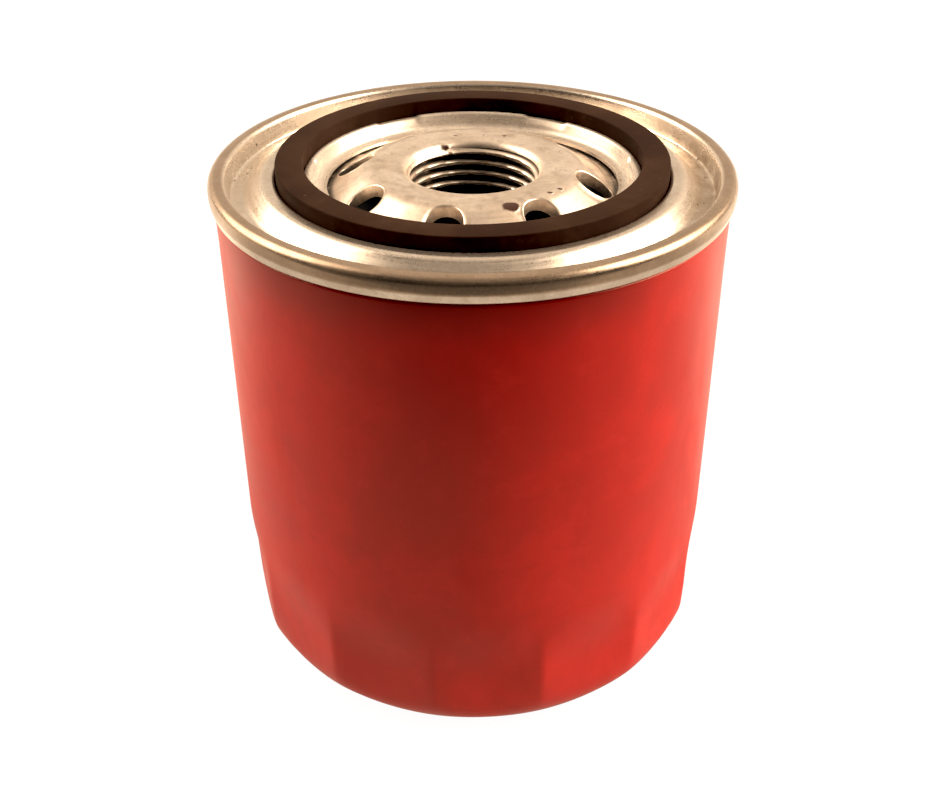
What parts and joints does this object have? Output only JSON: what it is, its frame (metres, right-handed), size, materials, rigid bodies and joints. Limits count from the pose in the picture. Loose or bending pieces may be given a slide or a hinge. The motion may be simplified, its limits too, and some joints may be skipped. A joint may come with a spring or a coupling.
{
  "type": "oil filter",
  "caption": "Spin-on engine oil filter: red can, seamed metal lid with rubber gasket, threaded plate, pleated element, bypass and anti-drain valves.",
  "frame": {"origin": "centre of the closed end, where the filter stands on its foot", "axes": "+Z along the filter's axis, from the closed end up to the threaded end; the side in the reference view faces -Y"},
  "size_m": [0.0964, 0.0964, 0.1005],
  "materials": {
    "red_paint": "semi-gloss enamel",
    "plated_steel": "dull zinc-plated sheet",
    "plate_steel": "oiled pressed steel",
    "cap_steel": "tinplate",
    "spring_steel": "oiled spring wire",
    "gasket_rubber": "matte moulded rubber",
    "valve_rubber": "matte moulded rubber",
    "valve_nylon": "moulded nylon",
    "filter_paper": "resin-treated pleated paper",
    "plastisol": "cured plastisol",
    "sealing_compound": "cured seaming compound"
  },
  "bodies": {
    "shell": {"can": "red_paint", "seaming_lid": "plated_steel", "seam_sealant": "sealing_compound", "gasket": "gasket_rubber", "thread_plate": "plate_steel", "hold_down_spring": "spring_steel"},
    "element": {"upper_end_cap": "cap_steel", "upper_adhesive": "plastisol", "filter_media": "filter_paper", "media_clip": "cap_steel", "centre_tube": "cap_steel", "lower_adhesive": "plastisol", "lower_end_cap": "cap_steel", "bypass_housing": "cap_steel", "bypass_seat": "plate_steel", "bypass_retainer": "cap_steel", "bypass_spring": "spring_steel"},
    "bypass_valve": {"bypass_poppet": "valve_nylon", "bypass_seal": "valve_rubber"},
    "anti_drain_flap": {"anti_drain_valve": "valve_rubber"}
  },
  "joints": [
    {"name": "element_float", "type": "slide", "parent": "shell", "child": "element", "axis": [0, 0, -1], "range_m": [0, 0.002], "stiffness_N_per_m": 10000, "springref_m": -0.008, "deforming": ["hold_down_spring"]},
    {"name": "bypass_lift", "type": "slide", "parent": "element", "child": "bypass_valve", "axis": [0, 0, 1], "range_m": [0, 0.0035], "stiffness_N_per_m": 3000, "springref_m": -0.004, "deforming": ["bypass_spring"]},
    {"name": "anti_drain_open", "type": "slide", "parent": "element", "child": "anti_drain_flap", "axis": [0, 0, -1], "range_m": [0, 0.0015], "stiffness_N_per_m": 400, "springref_m": -0.0005, "deforming": ["anti_drain_valve"]}
  ]
}
